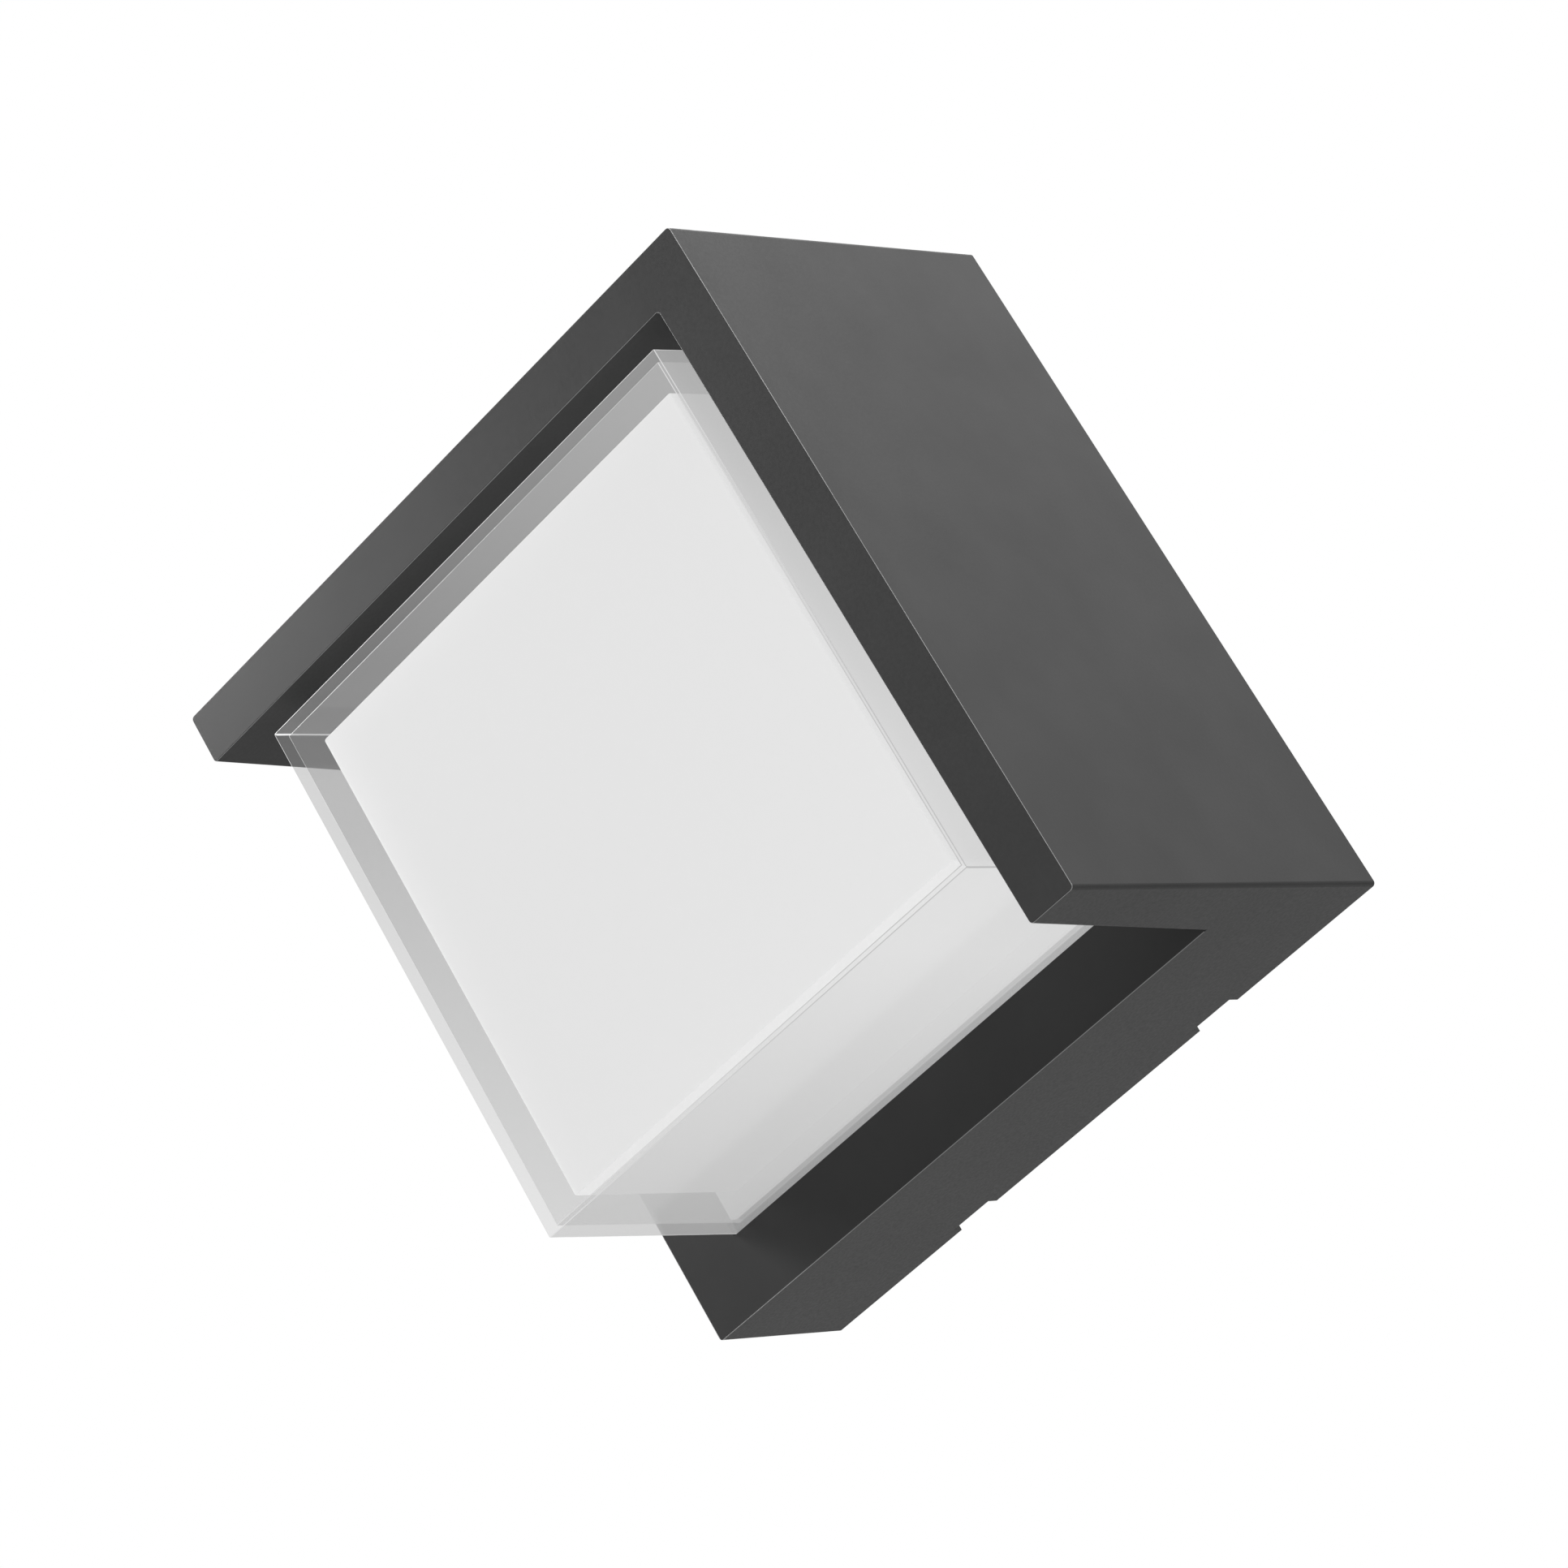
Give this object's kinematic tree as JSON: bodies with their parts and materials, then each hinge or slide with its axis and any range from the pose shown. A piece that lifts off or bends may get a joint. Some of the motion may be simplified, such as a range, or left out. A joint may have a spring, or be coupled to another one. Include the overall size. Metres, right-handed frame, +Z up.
{
  "type": "outdoor wall lantern",
  "caption": "Square outdoor wall lantern: dark cast housing with a top and a right-hand wing round a clear cover and an opal inner light box, lifting off its wall bracket.",
  "frame": {"origin": "centre of the square rear rim, on the wall plane, which is also the centre of the two wall-screw slots", "axes": "+Z up, +Y out of the lantern into the wall, so the front faces -Y, and +X to the right as seen from the front; the wings are at +Z and +X"},
  "size_m": [0.15, 0.0935, 0.15],
  "materials": {
    "powder_coat": "satin",
    "clear_plastic": "gloss",
    "opal_plastic": "satin",
    "clear_silicone": "matte",
    "zinc_steel": "satin",
    "bright_screw": "gloss",
    "washer_rubber": "matte",
    "heat_pad": "matte",
    "board_white": "gloss",
    "chip_yellow": "satin",
    "connector_white": "satin",
    "bush_rubber": "matte",
    "driver_shell": "satin",
    "driver_plug": "matte",
    "potting": "matte",
    "terminal_plastic": "satin",
    "brass": "satin",
    "tinned_copper": "satin",
    "wire_brown": "satin",
    "wire_blue": "satin",
    "wire_earth": "satin",
    "wire_red": "satin",
    "wire_black": "satin",
    "gasket_foam": "matte",
    "lid_plate": "satin",
    "vent_plastic": "matte",
    "gland_nylon": "satin",
    "gland_rubber": "matte",
    "bracket_steel": "satin",
    "spring_steel": "gloss"
  },
  "bodies": {
    "bracket": {"wall_bracket": "bracket_steel", "spring_clips": "spring_steel", "clip_rivets": "zinc_steel"},
    "lantern": {"housing": "powder_coat", "clear_cover": "clear_plastic", "cover_seal": "clear_silicone", "opal_diffuser": "opal_plastic", "diffuser_screws": "bright_screw", "diffuser_washers": "washer_rubber", "thermal_pad": "heat_pad", "led_board": "board_white", "led_chips": "chip_yellow", "board_screws": "bright_screw", "board_connector": "connector_white", "lead_grommet": "bush_rubber", "driver_case": "driver_shell", "driver_caps": "driver_plug", "driver_core": "potting", "driver_screws": "bright_screw", "terminal_block": "terminal_plastic", "clamp_screws": "brass", "block_screws": "bright_screw", "earth_ring": "tinned_copper", "earth_screw": "brass", "live_lead": "wire_brown", "neutral_lead": "wire_blue", "earth_lead": "wire_earth", "positive_lead": "wire_red", "negative_lead": "wire_black", "lid_gasket": "gasket_foam", "rear_lid": "lid_plate", "lid_screws": "bright_screw", "vent_plug": "vent_plastic", "gland_body": "gland_nylon", "gland_nut": "gland_nylon", "gland_seal": "gland_rubber", "gland_cap": "gland_nylon"}
  },
  "joints": [
    {"name": "lantern_lift_off", "type": "slide", "parent": "bracket", "child": "lantern", "axis": [0, -1, 0], "range_m": [0, 0.04]}
  ]
}
